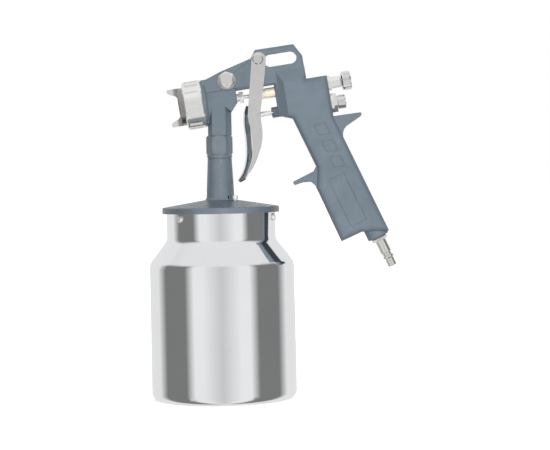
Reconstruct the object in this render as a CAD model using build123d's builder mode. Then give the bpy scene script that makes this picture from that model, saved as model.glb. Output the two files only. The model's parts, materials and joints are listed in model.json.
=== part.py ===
"""Siphon-feed paint spray gun hanging over a one-litre aluminium cup.

Row frame, millimetres: the origin is the centre of the cup's foot, +Z runs up the cup, and the gun sprays
towards -X. The gun itself is tilted, nozzle down, so it is drawn in its own frame: u runs back along the
spray axis, v runs up, and u = v = 0 is where the spray axis crosses the cup's axis.
"""

import os
from math import cos, pi, radians, sin

from build123d import *

os.makedirs("parts", exist_ok=True)

# ---------------------------------------------------------------- driving dimensions
TILT = 8.0  # the spray axis rises by this towards the back
SPRAY_Z = 226.2  # height at which the spray axis crosses the cup's axis

CUP_R = 55.0
CUP_WALL = 1.3
NECK_R = 41.2
CUP_RIM_Z = 143.3
RIM_R = 44.3
RIM_Z = (141.7, 146.2)
PIN_Z = 138.0
PIN_ANGLES = (-137, -17, 103)  # degrees from +X

ARM_HALF = 7.5  # half thicknesses across the gun
BLOCK_HALF = 11.4
NECK_HALF = 8.8
HEAD_R = 16.6
RING_THREAD_R = 15.5

VALVE_V = -15.1  # the air valve's line, below the spray axis
NEEDLE_R = 1.4
STEM_R = 1.9
FIT = 0.05  # radial clearance of what turns or slides

PIVOT = (34.5, 26.2)
PLATE_IN, PLATE_OUT = 8.0, 9.6  # the trigger's side plates, across the gun
HANDLE_ANGLE = -73.0  # the handle's line, from +u
LEAN = 0.29  # how far the handle's sides run back for each millimetre down
INLET = (102.6, -117.6)  # where the inlet's line meets the handle's bottom


# ---------------------------------------------------------------- helpers
def gun_plane(u=0.0, v=0.0, angle=0.0):
    """A plane in the gun's plane of symmetry, its X along a line at an angle from u, its Z towards -Y."""
    tilt, turn = radians(TILT), radians(TILT + angle)
    origin = (u * cos(tilt) - v * sin(tilt), 0, SPRAY_Z + u * sin(tilt) + v * cos(tilt))
    return Plane(origin=origin, x_dir=(cos(turn), 0, sin(turn)), z_dir=(0, -1, 0))


GUN = gun_plane()
VALVE = gun_plane(0, VALVE_V)
HANDLE = gun_plane(*INLET, HANDLE_ANGLE)
UPRIGHT = Plane.XZ  # x is the radius, y the height, for what is turned about the cup's axis
PLUG_SEAT = GUN.from_local_coords((8.8, 13.7, 9.7))  # on the head's leaning side
PLUG_AXIS = (GUN.y_dir * sin(radians(13)) + Vector(0, -cos(radians(13)), 0)).normalized()
PLUG = Plane(origin=PLUG_SEAT, x_dir=PLUG_AXIS, z_dir=GUN.x_dir)
VENT = (11.3, -8.8)


def across(plane, along):
    """The plane square to another plane's X axis, some way along it: its X is across the gun."""
    return Plane(origin=plane.from_local_coords((along, 0, 0)), x_dir=-plane.z_dir, z_dir=plane.x_dir)


def turned(plane, *outline, mode=Mode.ADD):
    """Revolve an outline of (along, radius) points about a plane's X axis."""
    with BuildSketch(plane) as profile:
        with BuildLine():
            Polyline(*outline, close=True)
        make_face()
    revolve(profile.sketch, axis=Axis(plane.origin, plane.x_dir), mode=mode)


def rod(plane, start, end, outer, inner=0.0, mode=Mode.ADD):
    """A plain length of rod or tube along a plane's X axis."""
    turned(plane, (start, inner), (start, outer), (end, outer), (end, inner), mode=mode)


def bore(plane, start, end, radius):
    rod(plane, start, end, radius, mode=Mode.SUBTRACT)


def slab(outline, half, mode=Mode.ADD, plane=GUN):
    """Extrude a closed outline in the gun's plane by the same amount to both sides."""
    with BuildSketch(plane) as profile:
        with BuildLine():
            Polyline(*outline, close=True)
        make_face()
    extrude(profile.sketch, amount=half, both=True, mode=mode)


def hexagon(plane, start, end, corner_r, turn=0.0, mode=Mode.ADD):
    """A hexagonal bar along a plane's X axis."""
    with BuildSketch(across(plane, start)) as profile:
        RegularPolygon(radius=corner_r, side_count=6, rotation=turn)
    extrude(profile.sketch, amount=end - start, mode=mode)


def coil(plane, start, end, mean_r, wire_r, turns):
    """An open compression spring along a plane's X axis."""
    seat = across(plane, start)
    helix = Helix(
        pitch=(end - start) / turns, height=end - start, radius=mean_r, center=seat.origin, direction=seat.z_dir
    )
    with BuildSketch(Plane(origin=helix @ 0, z_dir=helix % 0)) as wire:
        Circle(wire_r)
    sweep(wire.sketch, path=helix, is_frenet=True)


def leaning(left, top, width, height):
    """Corners of a parallelogram whose sides lean as the handle does."""
    lean = height * LEAN
    return (left, top), (left + width, top), (left + width + lean, top - height), (left + lean, top - height)


def finish(part, name):
    part.part.label = name
    export_step(part.part, f"parts/{name}.step")


# ---------------------------------------------------------------- cast body
with BuildPart() as head_top:  # broad over the head, narrowing back to the arm, its sides leaning in
    slab(((-10.9, 7.35), (-10.9, 17.3), (-6.9, 17.3), (4.5, 21.3), (30, 27.9), (30, 7.35)), 20)
    with BuildSketch(across(GUN, -12)):
        Polygon(
            (-10.8, 7.35), (10.8, 7.35), (8.9, 16.0), (6.6, 20.5), (6.6, 30), (-6.6, 30), (-6.6, 20.5),
            (-8.9, 16.0), align=None,
        )
    extrude(amount=45, mode=Mode.INTERSECT)
    with BuildSketch(Plane(origin=GUN.origin, x_dir=GUN.x_dir, z_dir=GUN.y_dir)):
        Polygon(
            (-13, -12), (14, -12), (24, -ARM_HALF), (31, -ARM_HALF),
            (31, ARM_HALF), (24, ARM_HALF), (14, 12), (-13, 12), align=None,
        )
    extrude(amount=40, both=True, mode=Mode.INTERSECT)

with BuildPart() as head_core:  # flush with the neck's front flat
    slab(
        (
            (-10.9, 9), (-10.9, -15.6), (-9.2, -15.6), (-8.6, -12.5), (-5.4, -4.5), (4.5, -5.3), (8.2, -9.8),
            (14, -3.1), (14, 9),
        ),
        NECK_HALF,
    )
    fillet(head_core.faces().sort_by(Axis.Y)[0].edges() + head_core.faces().sort_by(Axis.Y)[-1].edges(), 0.7)

with BuildPart() as neck:
    with BuildSketch(Plane.XY.offset(200.2)):
        RegularPolygon(radius=NECK_HALF / cos(pi / 6), side_count=6)
        with Locations((0.6, 0)):
            Rectangle(17.8, 30, mode=Mode.INTERSECT)
    extrude(amount=SPRAY_Z - 201)
    with BuildSketch(Plane.XY.offset(190)):
        Circle(7.0)
    extrude(amount=12)

with BuildPart() as arm:
    slab(
        (
            (10, 5.6), (10, 17.5), (28.9, 27.4), (33.4, 33.5), (62.6, 33.3), (68.0, 23.8),
            (68.3, 0), (44, 0), (44, 5.6),
        ),
        ARM_HALF,
    )
    fillet(arm.faces().sort_by(Axis.Y)[0].edges() + arm.faces().sort_by(Axis.Y)[-1].edges(), 2.2)

with BuildPart() as rear:  # block and handle
    slab(
        (
            (43.3, -18.2), (43.3, 15.5), (68.3, 15.5), (68.3, 6.0), (83.9, 6.0), (84.1, -25.2), (88.0, -38.9),
            (112.0, -117.3), (91.3, -115.0), (75.2, -119.6), (62.9, -76.6), (65.6, -61.5), (53.5, -22.1),
        ),
        BLOCK_HALF,
    )
    sides = rear.faces().sort_by(Axis.Y)
    fillet(sides[0].edges() + sides[-1].edges(), 4.5)
    with BuildSketch(Plane(origin=GUN.origin, x_dir=GUN.x_dir, z_dir=GUN.y_dir)):  # narrows to the trigger
        Polygon(
            (42, -5.2), (43.3, -5.2), (51.5, -12), (130, -12), (130, 12), (51.5, 12), (43.3, 5.2), (42, 5.2),
            align=None,
        )
    extrude(amount=140, both=True, mode=Mode.INTERSECT)
    with BuildSketch(across(GUN, 30)):  # slopes in to the hook
        Polygon((-13, -130), (13, -130), (13, 2), (7.3, 15.6), (-7.3, 15.6), (-13, 2), align=None)
    extrude(amount=100, mode=Mode.INTERSECT)

with BuildPart() as thumb_spur:
    slab(
        (
            (80, -25.2), (83.5, -25.2), (104.7, -25.6), (105.4, -26.9), (104.2, -28.6), (92.7, -34.1),
            (90.3, -36.3), (89.1, -39.2), (88.8, -42.3), (89.4, -46.2), (80, -46.2),
        ),
        8.5,
    )
    sides = thumb_spur.faces().sort_by(Axis.Y)
    fillet(sides[0].edges() + sides[-1].edges(), 0.6)

with BuildPart() as finger_spur:
    slab(
        (
            (68, -58.6), (64.8, -61.2), (62.9, -64.0), (46.7, -69.2), (46.0, -70.2), (47.0, -72.0),
            (53.4, -70.9), (59.4, -71.4), (62.0, -74.3), (66, -81),
        ),
        8.5,
    )
    sides = finger_spur.faces().sort_by(Axis.Y)
    fillet(sides[0].edges() + sides[-1].edges(), 0.6)

with BuildPart() as gun_body:
    turned(
        GUN,
        (-18, 0), (-18, RING_THREAD_R - FIT), (-10.9, RING_THREAD_R - FIT), (-10.9, HEAD_R), (-9.2, HEAD_R),
        (-8.2, HEAD_R - 1), (-8.2, 0),
    )
    for piece in (head_top, head_core, neck, arm, rear, thumb_spur, finger_spur):
        add(piece.part)
    turned(HANDLE, (-14, 0), (-14, 8.4), (2.6, 8.4), (3.6, 7.6), (3.6, 0))  # inlet boss

    with BuildSketch(gun_plane(51.2, 23.9)):  # hanging slot
        SlotOverall(25, 9.8)
    extrude(amount=20, both=True, mode=Mode.SUBTRACT)

    # nozzle seat, needle line and paint way
    turned(
        GUN,
        (-18, 9.8), (-18, 13.2), (-11.5, 13.2), (-11.5, 9.8), mode=Mode.SUBTRACT,
    )
    bore(GUN, -19, -8, 4.9)
    bore(GUN, -8, 14.5, 3.0)
    bore(GUN, 43, 54, 4.1)
    bore(GUN, 54, 76, 4.4)
    bore(GUN, 76, 85, 4.9)
    with BuildSketch(Plane.XY.offset(189)):
        Circle(4.0)
    extrude(amount=SPRAY_Z - 189, mode=Mode.SUBTRACT)

    # air valve line, and the way from the handle to the head
    bore(VALVE, 43, 47.6, 4.2)
    bore(VALVE, 47.6, 60, 3.6)
    bore(VALVE, 60, 76, 5.6)
    bore(VALVE, 76, 85, 6.45)
    bore(HANDLE, -107, 8, 4.6)
    with BuildSketch(Plane(GUN.from_local_coords((50, VALVE_V, -5.3)), z_dir=GUN.y_dir, x_dir=(0, 1, 0))):
        Circle(1.6)
    extrude(amount=28.5, mode=Mode.SUBTRACT)
    with BuildSketch(Plane(GUN.from_local_coords((-13, 11.6, -3.4)), z_dir=GUN.x_dir, x_dir=(0, 1, 0))):
        Circle(2.1)
    extrude(amount=63.4, mode=Mode.SUBTRACT)

    # cross holes: trigger pivot, and the plugged drilling in the head's side
    with BuildSketch(gun_plane(*PIVOT)):
        Circle(2.5)
    extrude(amount=20, both=True, mode=Mode.SUBTRACT)
    turned(PLUG, (0, 0), (0, 8.4), (8, 8.4), (8, 0), mode=Mode.SUBTRACT)
    bore(PLUG, -6, 1, 3.9)
    bore(PLUG, -12.5, -6, 1.8)

    # outlined panels on both sides of the handle
    for side in (-1, 1):
        face = Plane(GUN.from_local_coords((0, 0, -side * (BLOCK_HALF - 0.8))), x_dir=GUN.x_dir, z_dir=(0, -1, 0))
        with BuildSketch(face) as panels:
            for left, top in ((68.0, -29.4), (71.4, -42.2), (75.3, -55.0)):
                with BuildLine():
                    Polyline(*leaning(left, top, 9.4, 8.9), close=True)
                make_face()
                with BuildLine():
                    Polyline(*leaning(left + 1.0, top - 0.8, 7.5, 7.3), close=True)
                make_face(mode=Mode.SUBTRACT)
        extrude(panels.sketch, amount=-side, mode=Mode.SUBTRACT)
        face = Plane(HANDLE.from_local_coords((0, 0, -side * (BLOCK_HALF - 0.8))), x_dir=HANDLE.x_dir, z_dir=(0, -1, 0))
        with BuildSketch(face) as name_panel:
            with Locations((-32.5, -9.3)):
                Rectangle(40, 13.6)
                Rectangle(38.2, 11.8, mode=Mode.SUBTRACT)
        extrude(name_panel.sketch, amount=-side, mode=Mode.SUBTRACT)
print(gun_body.part.is_valid, len(gun_body.part.solids()))
finish(gun_body, "gun_body")


# ---------------------------------------------------------------- head: nozzle, cap, ring, plug
with BuildPart() as fluid_nozzle:
    turned(
        GUN,
        (-8, 2.9), (-8, 4.85), (-18, 4.85), (-18, 9.2), (-20.4, 9.2), (-20.4, 6.4), (-26.6, 3.2), (-27.7, 1.75),
        (-30.1, 1.6), (-30.1, 0.8), (-29.2, 0.8), (-25.9, 1.9), (-24.5, 2.9),
    )
    hexagon(GUN, -21.4, -20.4, 7.4)
    turned(GUN, (-21.4, 0), (-21.4, 2.9), (-20.4, 2.9), (-20.4, 0), mode=Mode.SUBTRACT)
finish(fluid_nozzle, "fluid_nozzle")

with BuildPart() as air_cap:
    turned(
        GUN,
        (-21.8, 13.0), (-21.8, 15.3), (-23.7, 15.3), (-23.7, 14.3), (-29.3, 14.3), (-29.9, 13.7), (-29.9, 12.6),
        (-28.9, 9.6), (-28.9, 5.6), (-30.2, 4.6), (-30.2, 2.1), (-27.9, 2.1), (-27.9, 10.5), (-26, 13.0),
    )
    with BuildSketch(GUN) as horns:
        for side in (1, -1):
            with BuildLine():
                Polyline(
                    (-28.6, 6.4 * side), (-29.9, 6.6 * side), (-31.7, 8.8 * side), (-36.5, 10.8 * side),
                    (-37.5, 12.0 * side), (-37.5, 13.7 * side), (-37.0, 14.2 * side), (-28.6, 14.2 * side), close=True,
                )
            make_face()
    extrude(horns.sketch, amount=4.2, both=True)
    for side in (1, -1):  # horn jets, centre jets
        for along, off in ((-34.4, 9.9), (-32.6, 9.2)):
            jet = gun_plane(along, off * side, -55 * side)
            bore(jet, -1, 3.2, 0.5)
        bore(gun_plane(0, 3.4 * side), -31, -27, 0.5)
finish(air_cap, "air_cap")

with BuildPart() as air_cap_ring:
    turned(
        GUN,
        (-25.8, 14.4), (-25.8, 16.7), (-25.2, 17.3), (-24.8, 18.1), (-11.9, 18.1), (-11.0, 17.2), (-11.0, 15.5),
        (-23.8, 15.5), (-23.8, 14.4),
    )
    with BuildSketch(across(GUN, -23.6)):
        with PolarLocations(17.9, 14):
            Rectangle(2.2, 4.7)
    extrude(amount=9.6, mode=Mode.SUBTRACT)
finish(air_cap_ring, "air_cap_ring")

with BuildPart() as passage_plug:
    rod(PLUG, -5.6, 0.8, 3.85)
    hexagon(PLUG, 0.8, 4.2, 6.7, 30)
    turned(PLUG, (0.7, 9), (0.7, 6.7), (3.0, 6.7), (4.3, 5.4), (4.3, 9), mode=Mode.SUBTRACT)
    turned(PLUG, (4.1, 0), (4.1, 5.2), (4.9, 5.2), (5.3, 4.6), (5.3, 0))
finish(passage_plug, "passage_plug")

with BuildPart() as plug_washer:
    rod(PLUG, 0, 0.8, 6.9, 3.9)
finish(plug_washer, "plug_washer")

with BuildPart() as needle_packing:
    rod(GUN, 6.6, 10, 3.0, NEEDLE_R + FIT)
    with BuildSketch(across(GUN, 0)):
        Circle(4.2)
    extrude(amount=6.6, mode=Mode.SUBTRACT)
finish(needle_packing, "needle_packing")

with BuildPart() as packing_nut:
    rod(GUN, 10, 16, 2.95)
    hexagon(GUN, 16, 18.6, 4.9, 0)
    rod(GUN, 18.6, 19.2, 4.1)
    bore(GUN, 9, 20, NEEDLE_R + FIT)
finish(packing_nut, "packing_nut")


# ---------------------------------------------------------------- trigger
with BuildPart() as trigger:
    with BuildSketch(gun_plane()) as plate:
        with BuildLine():
            front = Polyline((29.75, 27.0), (25.4, 8.0), (22.8, -3.1), (20.1, -15.0))
            inner = Spline((20.1, -15.0), (20.6, -27.5), (20.3, -36.5), (17.3, -48.5), (13.1, -56.5))
            tip = Line(inner @ 1, (14.7, -57.4))
            rear = Spline(
                tip @ 1, (20.0, -50.7), (24.2, -43.4), (27.5, -36.0), (29.3, -27.1), (30.1, -13.3),
                (32.6, -4.2), (35.2, 4.6), (37.9, 14.4), (40.5, 25.6),
            )
            ThreePointArc(rear @ 1, (PIVOT[0] + 0.7, PIVOT[1] + 5.3), front @ 0)
        make_face()
    extrude(plate.sketch, amount=PLATE_OUT, both=True)
    extrude(plate.sketch, amount=PLATE_IN, both=True, mode=Mode.SUBTRACT)

    # cross web with the needle's notch, then the curved finger blade
    slab(((24.42, 3.8), (22.8, -3.1), (20.1, -15.0), (20.4, -19), (22.0, -19), (21.8, -15), (26.1, 3.8)), 8.2)
    slab(((20, 5), (20, -2.7), (28, -2.7), (28, 5)), 2.2, mode=Mode.SUBTRACT)
    with BuildLine() as blade_line:
        Spline(
            *[
                GUN.from_local_coords(p)
                for p in (
                    (20.0, -6.5), (16.2, -16.9), (15.4, -29.0), (14.4, -40.4), (12.2, -49.3), (9.3, -55.6),
                    (4.7, -61.3),
                )
            ]
        )
    blade_path = blade_line.line
    with BuildSketch(Plane(origin=blade_path @ 0, x_dir=(0, 1, 0), z_dir=blade_path % 0)) as band:
        with BuildLine():
            outside = ThreePointArc((-PLATE_OUT, 4.3), (0, 0), (PLATE_OUT, 4.3))
            inside = ThreePointArc((-PLATE_IN, 4.9), (0, 1.5), (PLATE_IN, 4.9))
            Line(outside @ 0, inside @ 0)
            Line(outside @ 1, inside @ 1)
        make_face()
    sweep(band.sketch, path=blade_path)
    with BuildSketch(across(GUN, 0)) as front_view:  # rounded lower end
        with Locations((0, 0)):
            Rectangle(21, 127)
        fillet(front_view.vertices(), 6.5)
    extrude(front_view.sketch, amount=60, mode=Mode.INTERSECT)
    with BuildSketch(gun_plane(*PIVOT)) as eye:
        Circle(2.5 + FIT)
    extrude(eye.sketch, amount=20, both=True, mode=Mode.SUBTRACT)
finish(trigger, "trigger")

with BuildPart() as trigger_pivot_screw:  # shank through the arm, head towards -Y
    pivot_axis = Plane(GUN.from_local_coords((*PIVOT, 0)), x_dir=(0, -1, 0), z_dir=GUN.x_dir)
    rod(pivot_axis, -12.2, 9.9, 2.5)
    turned(pivot_axis, (9.9, 0), (9.9, 4.1), (11.3, 4.1), (11.9, 3.4), (11.9, 0))
    with BuildSketch(Plane(pivot_axis.from_local_coords((12, 0, 0)), x_dir=GUN.x_dir, z_dir=(0, -1, 0))):
        Rectangle(10, 1.1, rotation=35)
    extrude(amount=-0.9, mode=Mode.SUBTRACT)
finish(trigger_pivot_screw, "trigger_pivot_screw")

with BuildPart() as trigger_pivot_nut:
    hexagon(pivot_axis, -12.0, -9.9, 4.3)
    bore(pivot_axis, -13, -9, 2.5)
finish(trigger_pivot_nut, "trigger_pivot_nut")


# ---------------------------------------------------------------- needle line
with BuildPart() as fluid_needle:
    turned(GUN, (-29.4, 0), (-29.4, 0.4), (-25.9, NEEDLE_R), (61, NEEDLE_R), (61, 0))
finish(fluid_needle, "fluid_needle")

with BuildPart() as needle_collar:
    turned(
        GUN,
        (26.6, NEEDLE_R), (26.6, 3.2), (27.4, 4.0), (34.4, 4.0), (34.8, 3.5), (35.4, 3.5), (35.8, 4.0), (46, 4.0),
        (46, NEEDLE_R),
    )
finish(needle_collar, "needle_collar")

with BuildPart() as needle_nut:
    hexagon(GUN, 56, 60, 4.1)
    bore(GUN, 55, 61, NEEDLE_R)
finish(needle_nut, "needle_nut")

with BuildPart() as needle_spring:
    coil(GUN, 60.6, 73.5, 2.7, 0.4, 5)
finish(needle_spring, "needle_spring")

with BuildPart() as spring_seat:
    rod(GUN, 74, 75.6, 3.3)
    rod(GUN, 72, 74, 1.9)
finish(spring_seat, "spring_seat")

with BuildPart() as fluid_sleeve:
    turned(
        GUN,
        (76.2, 3.5), (76.2, 4.85), (84.3, 4.85), (84.3, 5.6), (86.2, 5.6), (86.6, 4.45), (93.4, 4.45), (94, 4.0),
        (94, 3.5),
    )
finish(fluid_sleeve, "fluid_sleeve")

with BuildPart() as fluid_knob:
    rod(GUN, 75.9, 94.6, 3.5 - FIT)
    turned(GUN, (94.3, 0), (94.3, 6.4), (95.2, 7.3), (100.6, 7.3), (101.6, 6.3), (101.6, 0))
    with BuildSketch(across(GUN, 96.3)):  # eight finger flutes
        with PolarLocations(8.0, 8, start_angle=10):
            Circle(1.9)
    extrude(amount=6, mode=Mode.SUBTRACT)
finish(fluid_knob, "fluid_knob")


# ---------------------------------------------------------------- air valve line
with BuildPart() as air_valve_stem:
    turned(
        VALVE, (22.6, 0), (22.6, 1.2), (23.2, STEM_R), (65.4, STEM_R), (65.4, 0),
    )
finish(air_valve_stem, "air_valve_stem")

with BuildPart() as air_valve_gland:
    turned(VALVE, (38.5, 0), (38.5, 3.6), (39, 4.1), (43.3, 4.1), (43.3, 4.15), (46, 4.15), (46, 0))
    with BuildSketch(across(VALVE, 38.4)):
        Rectangle(10, 1.2)
    extrude(amount=1.5, mode=Mode.SUBTRACT)
    bore(VALVE, 38, 47, STEM_R + FIT)
finish(air_valve_gland, "air_valve_gland")

with BuildPart() as air_valve_packing:
    rod(VALVE, 46, 47.5, 4.15, STEM_R + FIT)
finish(air_valve_packing, "air_valve_packing")

with BuildPart() as air_valve_seal:
    rod(VALVE, 60.1, 61.6, 4.9, STEM_R)
finish(air_valve_seal, "air_valve_seal")

with BuildPart() as air_valve_disc:
    turned(VALVE, (61.6, STEM_R), (61.6, 5.1), (63.2, 5.1), (63.2, 3.6), (65, 3.6), (65, STEM_R))
finish(air_valve_disc, "air_valve_disc")

with BuildPart() as air_valve_spring:
    coil(VALVE, 63.9, 75.3, 4.4, 0.5, 4)
finish(air_valve_spring, "air_valve_spring")

with BuildPart() as air_valve_plug:
    turned(VALVE, (76.2, 3.1), (76.2, 6.4), (84.3, 6.4), (84.3, 7.4), (86, 7.4), (86, 3.1))
    hexagon(VALVE, 86, 88.7, 7.4, 20)
    bore(VALVE, 85, 89, 3.1)
finish(air_valve_plug, "air_valve_plug")

with BuildPart() as air_knob:
    rod(VALVE, 75.6, 89.2, 3.1 - FIT)
    turned(VALVE, (89, 0), (89, 4.7), (89.5, 5.25), (94.7, 5.25), (95.3, 4.6), (95.3, 0))
    with BuildSketch(across(VALVE, 89.9)):
        with PolarLocations(5.35, 18):
            Rectangle(0.6, 0.9)
    extrude(amount=4.4, mode=Mode.SUBTRACT)
    with BuildSketch(across(VALVE, 94.5)):
        Rectangle(12, 1.2)
    extrude(amount=1, mode=Mode.SUBTRACT)
finish(air_knob, "air_knob")


# ---------------------------------------------------------------- air inlet
with BuildPart() as inlet_nipple:
    rod(HANDLE, -9, 4.4, 4.55)
    hexagon(HANDLE, 4.4, 6.4, 6.1, 30)
    turned(
        HANDLE,
        (6.3, 0), (6.3, 4.25), (16.4, 4.25), (17.2, 3.5), (18.6, 3.5), (19.3, 4.3), (20.7, 4.3), (21.5, 3.6),
        (27.4, 3.6), (28.0, 3.0), (28.0, 0),
    )
    bore(HANDLE, -10, 29, 2.4)
finish(inlet_nipple, "inlet_nipple")

with BuildPart() as inlet_washer:
    rod(HANDLE, 3.6, 4.4, 5.8, 4.6)
finish(inlet_washer, "inlet_washer")


# ---------------------------------------------------------------- lid with its union nut and tube
with BuildPart() as coupling_nut:
    with BuildSketch(Plane.XY.offset(185.9)):
        RegularPolygon(radius=10.0, side_count=6, rotation=0)
    extrude(amount=14.2)
    with BuildSketch(UPRIGHT) as corners:  # chamfered top and bottom corners
        with BuildLine():
            Polyline((8.9, 200.2), (12, 200.2), (12, 198.4), (10.1, 198.4), close=True)
        make_face()
        with BuildLine():
            Polyline((9.3, 185.8), (12, 185.8), (12, 187), (10.1, 187), close=True)
        make_face()
    revolve(corners.sketch, axis=Axis.Z, mode=Mode.SUBTRACT)
    with BuildSketch(Plane.XY.offset(188.1)):
        Circle(7.0)
    extrude(amount=13, mode=Mode.SUBTRACT)
    with BuildSketch(Plane.XY.offset(185)):
        Circle(6.2)
    extrude(amount=4, mode=Mode.SUBTRACT)
finish(coupling_nut, "coupling_nut")

with BuildPart() as cup_lid:
    with BuildSketch(UPRIGHT) as lid_half:
        with BuildLine():
            Polyline(
                (4.0, 190), (6.9, 190), (6.9, 188.1), (6.15, 188.1), (6.15, 185.8), (9.5, 185.8), (9.5, 183.3),
                (8.9, 183.0), (8.9, 182.6), (9.3, 182.3), (9.3, 180), (10.6, 153.2), (11.7, 151.5),
                (RIM_R - 0.5, RIM_Z[1]), (RIM_R, RIM_Z[1] - 0.5), (RIM_R, RIM_Z[0]), (42.5, RIM_Z[0]),
                (42.5, 144.5), (39.2, 144.5), (39.2, 133.0), (36.6, 133.0), (36.6, 143.3), (9, 148.4), (7, 150.5),
                (7, 166), (4.0, 169), close=True,
            )
        make_face()
    revolve(axis=Axis.Z)
    for angle in PIN_ANGLES:  # bayonet: an entry, then a level run under which the pins turn
        with BuildSketch(Plane.XY.offset(PIN_Z - 2.4)):
            with BuildLine():
                a, b = (Vector(46, 0).rotate(Axis.Z, angle - s) for s in (-6, 61))
                mid = Vector(46, 0).rotate(Axis.Z, angle - 27)
                Polyline((0, 0), a, mid, b, close=True)
            make_face()
            Circle(35, mode=Mode.SUBTRACT)
        extrude(amount=4.8, mode=Mode.SUBTRACT)
        with BuildSketch(Plane.XY.offset(132.5)):
            with BuildLine():
                a, b = (Vector(46, 0).rotate(Axis.Z, angle - s) for s in (43, 61))
                Polyline((0, 0), a, b, close=True)
            make_face()
            Circle(35, mode=Mode.SUBTRACT)
        extrude(amount=4, mode=Mode.SUBTRACT)
    with BuildSketch(Plane(origin=(7.0, -12, 153.4), z_dir=(0, 1, 0), x_dir=(1, 0, 0))):  # breather
        Circle(1.4)
    extrude(amount=9.5, mode=Mode.SUBTRACT)
    with BuildSketch(Plane.XY.offset(144)):
        with Locations(VENT):
            Circle(1.5)
    extrude(amount=12, mode=Mode.SUBTRACT)
finish(cup_lid, "cup_lid")

with BuildPart() as vent_plug:
    with BuildSketch(Plane.XY.offset(147.2)):
        with Locations(VENT):
            Circle(1.5)
            Circle(0.6, mode=Mode.SUBTRACT)
    extrude(amount=4.8)
    with BuildSketch(Plane.XY.offset(151.8)):
        with Locations(VENT):
            Circle(2.3)
            Circle(0.6, mode=Mode.SUBTRACT)
    extrude(amount=2.9)
finish(vent_plug, "vent_plug")

with BuildPart() as lid_gasket:
    with BuildSketch(Plane.XY.offset(143.4)):
        Circle(42.4)
        Circle(39.3, mode=Mode.SUBTRACT)
    extrude(amount=1.1)
finish(lid_gasket, "lid_gasket")

with BuildPart() as fluid_tube:
    with BuildLine() as tube_line:
        FilletPolyline((0, 0, 182), (0, 0, 62), (-19, 0, 7), radius=60)
    with BuildSketch(Plane.XY.offset(182)) as tube_end:
        Circle(4.0)
        Circle(3.1, mode=Mode.SUBTRACT)
    sweep(tube_end.sketch, path=tube_line.line)
finish(fluid_tube, "fluid_tube")


# ---------------------------------------------------------------- cup
with BuildPart() as cup:
    with BuildSketch(UPRIGHT) as wall:
        with BuildLine():
            FilletPolyline((0, 0), (CUP_R, 0), (CUP_R, 50), radius=6)
            FilletPolyline((CUP_R, 50), (CUP_R, 103.4), (NECK_R, 121.2), (NECK_R, CUP_RIM_Z), radius=6)
            Polyline((NECK_R, CUP_RIM_Z), (NECK_R - CUP_WALL, CUP_RIM_Z))
            FilletPolyline(
                (NECK_R - CUP_WALL, CUP_RIM_Z), (NECK_R - CUP_WALL, 120.6), (CUP_R - CUP_WALL, 102.8),
                (CUP_R - CUP_WALL, 50), radius=6,
            )
            FilletPolyline((CUP_R - CUP_WALL, 50), (CUP_R - CUP_WALL, CUP_WALL), (0, CUP_WALL), radius=4.7)
            Line((0, CUP_WALL), (0, 0))
        make_face()
    revolve(axis=Axis.Z)
    for angle in PIN_ANGLES:
        radial = Plane(origin=(0, 0, PIN_Z), x_dir=(0, 0, 1), z_dir=Vector(1, 0, 0).rotate(Axis.Z, angle))
        with BuildSketch(radial.offset(36)):
            Circle(1.6)
        extrude(amount=8, mode=Mode.SUBTRACT)
finish(cup, "cup")

with BuildPart() as bayonet_pins:
    for angle in PIN_ANGLES:
        radial = Plane(origin=(0, 0, PIN_Z), x_dir=(0, 0, 1), z_dir=Vector(1, 0, 0).rotate(Axis.Z, angle))
        with BuildSketch(radial.offset(37.0)):
            Circle(1.6)
        extrude(amount=5.2)
        with BuildSketch(radial.offset(41.2)):
            Circle(2.9)
        extrude(amount=1.6, taper=18)
finish(bayonet_pins, "bayonet_pins")
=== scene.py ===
import json
import math

import bmesh
import bpy
from mathutils import Matrix, Vector

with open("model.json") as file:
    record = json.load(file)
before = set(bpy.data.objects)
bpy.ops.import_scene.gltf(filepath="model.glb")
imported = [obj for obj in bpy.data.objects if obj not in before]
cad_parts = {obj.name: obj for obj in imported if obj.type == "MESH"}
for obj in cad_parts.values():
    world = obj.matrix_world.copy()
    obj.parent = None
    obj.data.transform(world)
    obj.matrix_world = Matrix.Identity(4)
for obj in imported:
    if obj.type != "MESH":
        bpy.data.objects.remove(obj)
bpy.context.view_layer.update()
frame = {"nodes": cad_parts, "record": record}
NODES = frame["nodes"]
SCENE = bpy.context.scene

CAMERA_AIM = Vector((0.0409, 0, 0.1314))
CAMERA_DISTANCE = 1.53
CAMERA_HEIGHT = 0.178
CAMERA_ROLL = math.radians(1.2)
CAMERA_LENS = 131.9
FLOOR_RADIUS = 12
SPRAY_AXIS = (0.990, 0.139)  # the head's axis along X and Z, leaning 8 degrees


# ---------------------------------------------------------------- camera, floor and light
def add_camera():
    cam = bpy.data.objects.new("camera", bpy.data.cameras.new("camera"))
    SCENE.collection.objects.link(cam)
    cam.location = Vector((CAMERA_AIM.x, -CAMERA_DISTANCE, CAMERA_HEIGHT))
    turn = (CAMERA_AIM - cam.location).to_track_quat("-Z", "Y").to_matrix().to_4x4()
    cam.rotation_mode = "QUATERNION"
    cam.rotation_quaternion = (turn @ Matrix.Rotation(-CAMERA_ROLL, 4, "Z")).to_quaternion()
    cam.data.sensor_width = 36
    cam.data.lens = CAMERA_LENS
    SCENE.camera = cam


def add_softbox(name, place, aim, size, watts):
    light = bpy.data.lights.new(name, "AREA")
    light.shape, light.size, light.energy = "DISK", size, watts
    box = bpy.data.objects.new(name, light)
    SCENE.collection.objects.link(box)
    box.location = place
    box.rotation_mode = "QUATERNION"
    box.rotation_quaternion = (Vector(aim) - Vector(place)).to_track_quat("-Z", "Y")
    box.visible_glossy = False  # polished parts show the studio, not the lamp
    box.visible_camera = False


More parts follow.
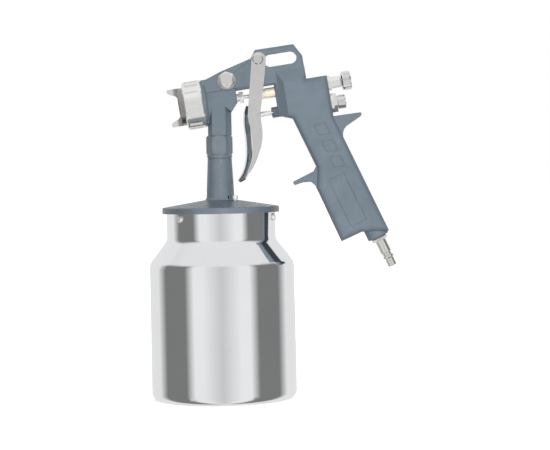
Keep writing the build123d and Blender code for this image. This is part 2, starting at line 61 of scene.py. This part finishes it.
def add_floor():
    bm = bmesh.new()
    bmesh.ops.create_circle(bm, cap_ends=True, segments=96, radius=FLOOR_RADIUS)
    mesh = bpy.data.meshes.new("floor")
    bm.to_mesh(mesh)
    bm.free()
    floor = bpy.data.objects.new("floor", mesh)
    SCENE.collection.objects.link(floor)
    floor.visible_glossy = False  # the wide pale floor would wash the polished cup out
    floor.visible_diffuse = False
    mat = bpy.data.materials.new("floor")
    mat.use_nodes = True
    shader = mat.node_tree.nodes["Principled BSDF"]
    shader.inputs["Base Color"].default_value = (0.93, 0.93, 0.93, 1)
    shader.inputs["Roughness"].default_value = 0.9
    shader.inputs["Specular IOR Level"].default_value = 0
    shader.inputs["Emission Color"].default_value = (1, 1, 1, 1)
    n = Nodes(mat.node_tree)  # keeps the far floor as pale as the near one
    reach = n.add("VectorMath", {0: n.add("TexCoord").outputs["Object"]}, operation="LENGTH").outputs["Value"]
    n.tree.links.new(n.fade(reach, 0.1, 1.1, 0.5, 0.95), shader.inputs["Emission Strength"])
    mesh.materials.append(mat)


class Nodes:
    """Short calls for building a node tree."""

    def __init__(self, tree):
        self.tree = tree

    def add(self, kind, inputs=None, **settings):
        node = self.tree.nodes.new("ShaderNode" + kind)
        for key, value in settings.items():
            setattr(node, key, value)
        for key, value in (inputs or {}).items():
            if hasattr(value, "is_output"):
                self.tree.links.new(value, node.inputs[key])
            else:
                node.inputs[key].default_value = value
        return node

    def math(self, operation, a, b=0.0, c=0.0):
        return self.add("Math", {0: a, 1: b, 2: c}, operation=operation).outputs[0]

    def fade(self, value, low, high, to_low=0.0, to_high=1.0):
        node = self.add(
            "MapRange", {0: value, 1: low, 2: high, 3: to_low, 4: to_high}, interpolation_type="SMOOTHSTEP"
        )
        return node.outputs[0]

    def ramp(self, value, stops):
        node = self.add("ValToRGB", {0: value})
        elements = node.color_ramp.elements
        while len(elements) < len(stops):
            elements.new(0.5)
        for element, (place, color) in zip(elements, stops):
            element.position = place
        for element, (place, color) in zip(elements, stops):
            element.color = (*((color,) * 3 if isinstance(color, (int, float)) else color), 1)
        return node.outputs["Color"]

    def mix(self, share, a, b, blend="MIX"):
        node = self.add("Mix", data_type="RGBA", blend_type=blend)
        for key, value in ((0, share), (6, a), (7, b)):
            if hasattr(value, "is_output"):
                self.tree.links.new(value, node.inputs[key])
            else:
                node.inputs[key].default_value = value if key == 0 else (*value, 1)
        return node.outputs[2]


# The plain grey studio that polished parts reflect: a front wall in half shade, a pale wall behind the gun and
# one broad grey flag standing on each side. Each stop is a bearing in degrees from the front, and a shade.
ROOM = ((0, 0.6), (30, 0.85), (45, 0.85), (60, 0.2), (100, 0.2), (120, 0.8), (180, 0.8))
OVERHEAD = 0.8


def add_world():
    world = bpy.data.worlds.new("studio")
    SCENE.world = world
    world.use_nodes = True
    world.node_tree.nodes.clear()
    n = Nodes(world.node_tree)
    way = n.add("SeparateXYZ", {0: n.add("TexCoord").outputs["Generated"]})
    height = way.outputs["Z"]
    bearing = n.math("ARCTAN2", way.outputs["X"], n.math("MULTIPLY", way.outputs["Y"], -1))
    room = n.ramp(
        n.math("DIVIDE", n.math("ABSOLUTE", bearing), math.pi), [(place / 180, shade) for place, shade in ROOM]
    )
    room = n.mix(n.fade(height, 0.4, 0.8), room, (OVERHEAD,) * 3)
    rays = n.add("LightPath")
    soft = n.mix(n.fade(way.outputs["Y"], -1.0, 0.5), (0.42, 0.435, 0.46), (0.04, 0.043, 0.05))
    color = n.mix(rays.outputs["Is Diffuse Ray"], room, soft)
    color = n.mix(rays.outputs["Is Camera Ray"], color, (1.0, 1.0, 1.0))
    back = n.add("Background", {"Color": color, "Strength": 1.0})
    out = n.add("OutputWorld")
    n.tree.links.new(back.outputs[0], out.inputs["Surface"])


# ---------------------------------------------------------------- materials
def new_material(name, metallic, color, roughness, **sockets):
    mat = bpy.data.materials.new(name)
    mat.use_nodes = True
    n = Nodes(mat.node_tree)
    shader = mat.node_tree.nodes["Principled BSDF"]
    shader.inputs["Metallic"].default_value = metallic
    shader.inputs["Base Color"].default_value = (*color, 1)
    shader.inputs["Roughness"].default_value = roughness
    for key, value in sockets.items():
        shader.inputs[key.replace("_", " ")].default_value = value
    return mat, n, shader


def grain(n, scale, detail=2.0, stretch=(1, 1, 1), place=None):
    where = place or n.add("TexCoord").outputs["Object"]
    if stretch != (1, 1, 1):
        where = n.add("Mapping", {"Vector": where, "Scale": stretch}).outputs[0]
    return n.add("TexNoise", {"Vector": where, "Scale": scale, "Detail": detail}).outputs["Fac"]


def link_bump(n, shader, height, depth, strength=1.0):
    bump = n.add("Bump", {"Height": height, "Distance": depth, "Strength": strength})
    n.tree.links.new(bump.outputs[0], shader.inputs["Normal"])


def enamel(name, color, rough=0.38, gloss=0.5, peel_depth=0.00012):
    """Satin paint over a casting: faint orange peel, uneven gloss and cloudy colour."""
    mat, n, shader = new_material(name, 0, color, rough, Specular_IOR_Level=gloss)
    cloud = grain(n, 45, 3)
    speck = grain(n, 2600, 1)
    dark, light = [c * 0.93 for c in color], [c * 1.07 for c in color]
    shade = n.mix(n.fade(cloud, 0.3, 0.7), dark, light)
    shade = n.mix(n.fade(speck, 0.62, 0.78, 0, 0.25), shade, [c * 1.35 for c in color])
    n.tree.links.new(shade, shader.inputs["Base Color"])
    n.tree.links.new(n.fade(grain(n, 160, 3), 0.25, 0.75, rough - 0.06, rough + 0.08), shader.inputs["Roughness"])
    peel = n.math("MULTIPLY_ADD", grain(n, 950, 2), 0.7, n.math("MULTIPLY", speck, 0.3))
    link_bump(n, shader, peel, peel_depth, 0.5)
    return mat


def plate(name, color, rough=0.1, metallic=1.0, wear=0.06, peel=0.00002):
    """Plated or turned metal: fine hazy patches, hairline scratches and a slightly uneven surface."""
    mat, n, shader = new_material(name, metallic, color, rough)
    haze = n.fade(grain(n, 220, 4), 0.3, 0.75)
    hair = n.fade(grain(n, 700, 2, (1, 1, 14)), 0.62, 0.7)
    level = n.math("MULTIPLY_ADD", hair, wear, n.math("MULTIPLY_ADD", haze, wear, rough))
    n.tree.links.new(level, shader.inputs["Roughness"])
    shade = n.mix(haze, [c * 0.96 for c in color], color)
    n.tree.links.new(shade, shader.inputs["Base Color"])
    link_bump(n, shader, grain(n, 500, 3), peel, 0.4)
    return mat


def spun(name, color, rough=0.042):
    """Aluminium polished on a lathe: rings of fine lines round the upright axis."""
    mat, n, shader = new_material(name, 1, color, rough)
    where = n.add("SeparateXYZ", {0: n.add("TexCoord").outputs["Object"]})
    rings, bands = (
        n.add("TexNoise", {"W": where.outputs["Z"], "Scale": scale, "Detail": detail}, noise_dimensions="1D").outputs["Fac"]
        for scale, detail in ((2600, 3), (160, 2))
    )
    haze = grain(n, 26, 4)
    scratch = n.fade(grain(n, 90, 3, (1, 1, 26)), 0.6, 0.68)
    level = n.math("MULTIPLY_ADD", n.fade(bands, 0.3, 0.7), 0.02, rough - 0.01)
    level = n.math("MULTIPLY_ADD", n.fade(haze, 0.35, 0.75), 0.02, level)
    level = n.math("MULTIPLY_ADD", scratch, 0.04, level)
    n.tree.links.new(level, shader.inputs["Roughness"])
    shade = n.mix(n.fade(haze, 0.3, 0.7), [c * 0.97 for c in color], color)
    n.tree.links.new(shade, shader.inputs["Base Color"])
    relief = n.math("MULTIPLY_ADD", bands, 0.3, n.math("MULTIPLY", rings, 0.25))
    relief = n.math("MULTIPLY_ADD", grain(n, 60, 3, (1, 1, 20)), 0.6, relief)
    link_bump(n, shader, relief, 0.00001, 0.5)
    return mat


def bright_tipped_cap(name, color, bright, rough=0.2):
    """The air cap's plating, lighter in colour towards the ends of the horns and darker over the face and skirt."""
    mat, n, shader = new_material(name, 1, color, rough)
    where = n.add("SeparateXYZ", {0: n.add("TexCoord").outputs["Object"]})
    ahead = n.math("MULTIPLY_ADD", where.outputs["Z"], SPRAY_AXIS[1], n.math("MULTIPLY", where.outputs["X"], SPRAY_AXIS[0]))
    tips = n.fade(n.math("MULTIPLY_ADD", grain(n, 300, 3), 0.0016, ahead), 0.0010, -0.0016)
    haze = n.fade(grain(n, 220, 4), 0.3, 0.75)
    shade = n.mix(tips, n.mix(haze, [c * 0.9 for c in color], color), bright)
    n.tree.links.new(shade, shader.inputs["Base Color"])
    n.tree.links.new(n.math("MULTIPLY_ADD", haze, 0.1, rough), shader.inputs["Roughness"])
    link_bump(n, shader, grain(n, 500, 3), 0.00002, 0.4)
    return mat


def moulded(name, color, rough):
    """Dull plastic or rubber with a fine skin."""
    mat, n, shader = new_material(name, 0, color, rough)
    shade = n.mix(grain(n, 300, 3), [c * 0.85 for c in color], [min(1, c * 1.15) for c in color])
    n.tree.links.new(shade, shader.inputs["Base Color"])
    n.tree.links.new(n.fade(grain(n, 500, 2), 0.2, 0.8, rough - 0.08, rough + 0.08), shader.inputs["Roughness"])
    link_bump(n, shader, grain(n, 1800, 2), 0.00005, 0.5)
    return mat


FINISHES = {
    "cast_grey": enamel("body_enamel", (0.097, 0.121, 0.143)),
    "lid_grey": enamel("lid_enamel", (0.090, 0.112, 0.133), 0.33, 0.9, 0.00003),
    "chrome": plate("chrome", (0.90, 0.90, 0.89), 0.07),
    "dark_nickel": plate("dark_nickel", (0.62, 0.59, 0.56), 0.16),
    "steel": plate("steel", (0.86, 0.86, 0.85), 0.2, 0.75),
    "zinc": plate("zinc", (0.82, 0.82, 0.81), 0.28, 0.7),
    "ring_chrome": plate("ring_chrome", (0.88, 0.88, 0.87), 0.09, 0.87),
    "nipple_steel": plate("nipple_steel", (0.84, 0.82, 0.78), 0.14),
    "brass": plate("brass", (0.98, 0.89, 0.72), 0.3, 0.65),
    "gland_grey": plate("gland_grey", (0.22, 0.25, 0.28), 0.3),
    "packing": moulded("packing", (0.85, 0.85, 0.8), 0.5),
    "seal": moulded("seal", (0.03, 0.03, 0.03), 0.6),
    "cup_aluminium": spun("cup_aluminium", (0.93, 0.94, 0.95)),
    "tube_aluminium": plate("tube_aluminium", (0.78, 0.79, 0.80), 0.22),
}
FINISHES["cap_nickel"] = bright_tipped_cap("cap_nickel", (0.42, 0.40, 0.38), (0.97, 0.96, 0.95))
OWN_FINISH = {
    "air_cap": "cap_nickel", "packing_nut": "zinc", "needle_nut": "zinc", "bayonet_pins": "zinc", "vent_plug": "zinc",
    "inlet_nipple": "nipple_steel", "air_cap_ring": "ring_chrome", "inlet_washer": "gland_grey",
    "air_valve_plug": "ring_chrome", "fluid_sleeve": "ring_chrome",
}
for part in frame["record"]["subparts"]:
    node = NODES[part["node"]]
    node.data.materials.clear()
    node.data.materials.append(FINISHES[OWN_FINISH.get(part["node"], part["material_slot"])])


SCENE.view_settings.view_transform = "Standard"
add_camera()
add_world()
add_floor()
add_softbox("front_softbox", (0.22, -2.0, 0.25), (0.03, 0, 0.15), 0.8, 68)
add_softbox("rear_softbox", (0.3, 2.0, 0.8), (0.03, 0, 0.15), 0.9, 34)
add_softbox("top_softbox", (0.1, -0.3, 1.6), (0.03, 0, 0.1), 1.2, 4)
